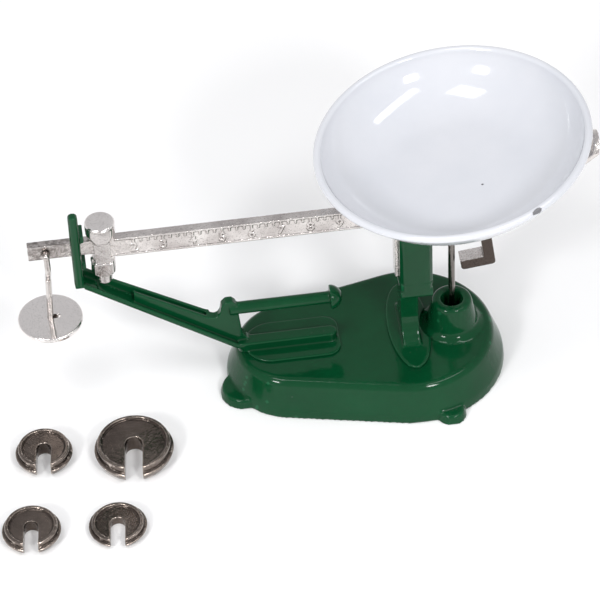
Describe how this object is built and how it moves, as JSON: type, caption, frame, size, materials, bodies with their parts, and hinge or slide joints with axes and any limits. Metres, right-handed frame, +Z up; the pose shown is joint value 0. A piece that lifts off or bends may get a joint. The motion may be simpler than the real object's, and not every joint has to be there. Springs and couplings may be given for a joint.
{
  "type": "counter scale",
  "caption": "Small counter scale with a round pan, a graduated beam on a fork pillar, a sliding poise, a wire hanger and loose slotted weights.",
  "frame": {"origin": "on the table, below the axis of the pan's stem and guide boss", "axes": "+X along the beam towards the pan, +Y away from the graduated side, +Z up"},
  "size_m": [0.0675, 0.0385, 0.0336],
  "materials": {
    "green_enamel": "gloss",
    "bright_nickel": "cast, plated",
    "plain_steel": "drawn",
    "bearing_brass": "turned",
    "white_enamel": "gloss",
    "dark_nickel": "gunmetal plated"
  },
  "bodies": {
    "stand": {"base_casting": "green_enamel", "fork_pillar": "green_enamel", "arm_bracket": "green_enamel", "pillar_screws": "plain_steel", "fulcrum_bearings": "bearing_brass", "bracket_rivets": "green_enamel", "link_anchor_pin": "plain_steel"},
    "beam": {"beam_bar": "bright_nickel", "fulcrum_pin": "plain_steel", "pan_knife_pin": "plain_steel"},
    "poise": {"poise_body": "bright_nickel", "poise_tip": "bright_nickel"},
    "hanger": {"hanger_wire": "plain_steel", "hanger_disc": "bright_nickel"},
    "carrier": {"pan_seat": "bright_nickel", "stem_hub": "bright_nickel", "pan_stem": "plain_steel", "keeper_stirrup": "bright_nickel"},
    "link": {"check_link": "plain_steel", "link_stem_pin": "plain_steel"},
    "pan": {"pan_dish": "white_enamel"},
    "large_weight": {"weight_large": "dark_nickel"},
    "thick_weight": {"weight_small_thick": "dark_nickel"},
    "medium_weight": {"weight_small_medium": "dark_nickel"},
    "thin_weight": {"weight_small_thin": "dark_nickel"}
  },
  "joints": [
    {"name": "beam_rock", "type": "hinge", "parent": "stand", "child": "beam", "pos_m": [-0.0041, 0, 0.0203], "axis": [0, 1, 0], "range_deg": [-1.15, 0.4]},
    {"name": "carrier_pivot", "type": "hinge", "parent": "beam", "child": "carrier", "pos_m": [0, 0, 0.0203], "axis": [0, 1, 0], "range_deg": [-0.5, 1.3]},
    {"name": "link_swing", "type": "hinge", "parent": "stand", "child": "link", "pos_m": [-0.0041, 0, 0.0019], "axis": [0, 1, 0], "range_deg": [-1.3, 0.5]},
    {"name": "poise_slide", "type": "slide", "parent": "beam", "child": "poise", "axis": [1, 0, 0], "range_m": [0, 0.0225]},
    {"name": "hanger_swing", "type": "hinge", "parent": "beam", "child": "hanger", "pos_m": [-0.04367, 0, 0.02258], "axis": [0, 1, 0], "range_deg": [-4, 40]},
    {"name": "pan_lift", "type": "slide", "parent": "carrier", "child": "pan", "axis": [-0.1201, 0, 0.9928], "range_m": [0, 0.02]},
    {"name": "large_weight_lift", "type": "slide", "parent": "stand", "child": "large_weight", "axis": [0, 0, 1], "range_m": [0, 0.03]},
    {"name": "thick_weight_lift", "type": "slide", "parent": "stand", "child": "thick_weight", "axis": [0, 0, 1], "range_m": [0, 0.03]},
    {"name": "medium_weight_lift", "type": "slide", "parent": "stand", "child": "medium_weight", "axis": [0, 0, 1], "range_m": [0, 0.03]},
    {"name": "thin_weight_lift", "type": "slide", "parent": "stand", "child": "thin_weight", "axis": [0, 0, 1], "range_m": [0, 0.03]}
  ],
  "couplings": [
    {"joint": "carrier_pivot", "follows": "beam_rock", "ratio": -1},
    {"joint": "link_swing", "follows": "beam_rock", "ratio": 1}
  ]
}
